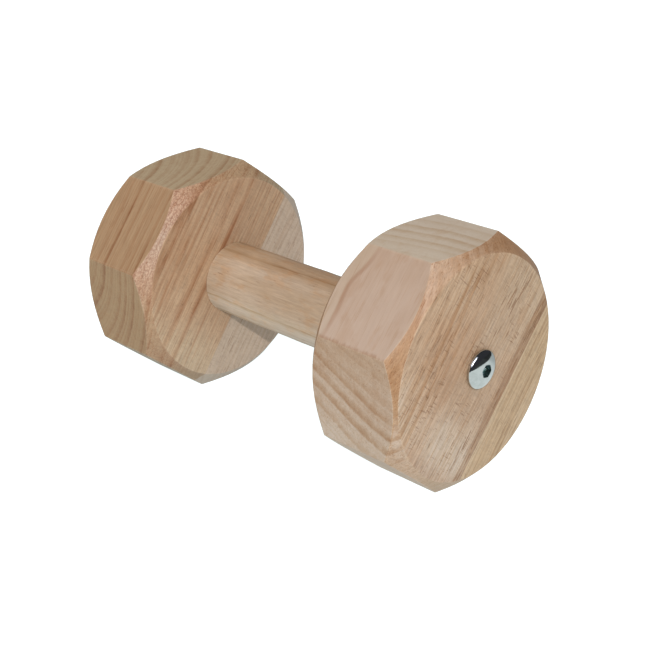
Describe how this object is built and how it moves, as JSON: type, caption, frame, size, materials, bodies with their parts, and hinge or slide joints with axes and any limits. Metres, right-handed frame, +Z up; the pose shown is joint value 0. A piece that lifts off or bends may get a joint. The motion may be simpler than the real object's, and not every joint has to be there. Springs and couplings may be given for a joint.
{
  "type": "retrieving dumbbell",
  "caption": "Wooden retrieving dumbbell: octagonal glued-board heads with turned chamfers on a round handle, clamped by a hidden tie rod and domed hex-socket nuts.",
  "frame": {"origin": "on the floor, midway between the two heads, under the handle", "axes": "+X along the handle towards the right head, +Z up, +Y to the back, so the heads stand on their bottom flats at z = 0"},
  "size_m": [0.2372, 0.123, 0.122],
  "materials": {
    "right_wide_board_wood": "sanded, bare",
    "right_narrow_board_wood": "sanded, bare",
    "left_wide_board_wood": "sanded, bare",
    "left_narrow_board_wood": "sanded, bare",
    "handle_beech": "turned and sanded, bare",
    "polished_steel": "mirror polished",
    "zinc_plated_steel": "zinc plated"
  },
  "bodies": {
    "root": {"right_head_wide_board": "right_wide_board_wood", "right_head_narrow_board": "right_narrow_board_wood", "left_head_wide_board": "left_wide_board_wood", "left_head_narrow_board": "left_narrow_board_wood", "handle": "handle_beech", "tie_rod": "zinc_plated_steel", "right_sleeve_nut": "polished_steel", "left_sleeve_nut": "polished_steel"}
  },
  "joints": []
}
